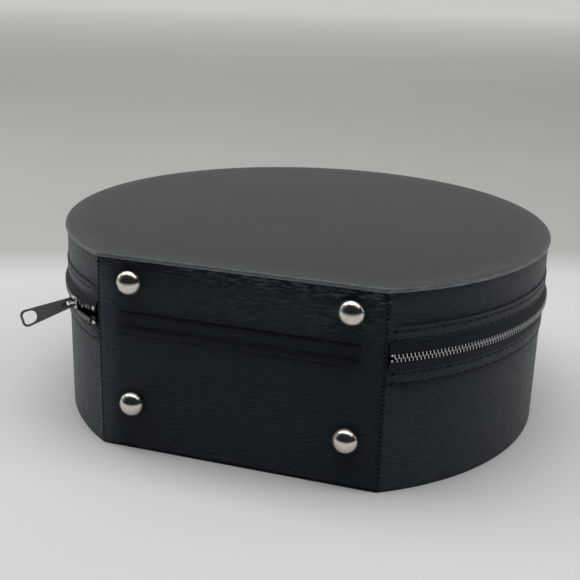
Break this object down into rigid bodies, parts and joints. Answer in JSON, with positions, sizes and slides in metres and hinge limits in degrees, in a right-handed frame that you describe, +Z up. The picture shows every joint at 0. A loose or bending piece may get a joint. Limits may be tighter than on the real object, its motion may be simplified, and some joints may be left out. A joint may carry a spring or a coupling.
{
  "type": "hat box",
  "caption": "Round leather-covered hat case with one flat face, a shallow zip-around lid on a leather hinge, domed feet on the flat face and a carrying handle.",
  "frame": {"origin": "centre of the round on the underside of the base, where the case rests", "axes": "+Z up through the lid, -Y out of the flat face that carries the feet, +X along the flat face"},
  "size_m": [0.4036, 0.3878, 0.155],
  "materials": {
    "leather_side": "black grained leatherette, satin",
    "leather_top": "black smooth leatherette, satin",
    "leather_panel": "black grained leatherette, satin",
    "leather_strip": "black grained leatherette",
    "board": "pressed fibre board",
    "lining": "black woven lining",
    "zip_tape": "black woven tape",
    "zip_metal": "nickel plated",
    "slider_metal": "dark nickel plated",
    "foot_metal": "polished nickel",
    "steel": "zinc plated"
  },
  "bodies": {
    "base": {"bottom_cover": "leather_side", "base_side_cover": "leather_side", "front_panel_base": "leather_panel", "base_floor_board": "board", "base_wall_board": "board", "base_floor_lining": "lining", "base_wall_lining": "lining", "hinge_gusset_base": "lining", "lower_zip_strip": "leather_strip", "lower_zip_tape": "zip_tape", "lower_zip_teeth": "zip_metal", "lower_zip_stops": "zip_metal", "lower_feet": "foot_metal", "lower_foot_washers": "steel", "handle_chapes": "leather_side", "handle_rivets": "foot_metal", "handle_backing": "steel"},
    "lid": {"lid_side_cover": "leather_side", "front_panel_lid": "leather_panel", "top_cover": "leather_top", "lid_top_board": "board", "lid_wall_board": "board", "lid_top_lining": "lining", "lid_wall_lining": "lining", "hinge_gusset_lid": "lining", "upper_zip_strip": "leather_strip", "upper_zip_tape": "zip_tape", "upper_zip_teeth": "zip_metal", "upper_zip_stops": "zip_metal", "upper_feet": "foot_metal", "upper_foot_washers": "steel"},
    "slider": {"slider_front_plate": "slider_metal", "slider_back_plate": "slider_metal", "slider_bail": "slider_metal"},
    "pull_tab": {"pull_tab": "slider_metal"},
    "handle": {"handle_strap": "leather_side", "handle_rings": "foot_metal"}
  },
  "joints": [
    {"name": "lid_hinge", "type": "hinge", "parent": "base", "child": "lid", "pos_m": [0, -0.168, 0.105], "axis": [1, 0, 0], "range_deg": [0, 110]},
    {"name": "zip_travel", "type": "hinge", "parent": "base", "child": "slider", "pos_m": [0, 0, 0.105], "axis": [0, 0, -1], "range_deg": [0, 272]},
    {"name": "pull_tab_swing", "type": "hinge", "parent": "slider", "child": "pull_tab", "pos_m": [-0.14289, -0.14797, 0.105], "axis": [0, 0, 1], "range_deg": [-60, 60]},
    {"name": "handle_swing", "type": "hinge", "parent": "base", "child": "handle", "pos_m": [0, 0.199, 0.058], "axis": [1, 0, 0], "range_deg": [0, 150]}
  ]
}
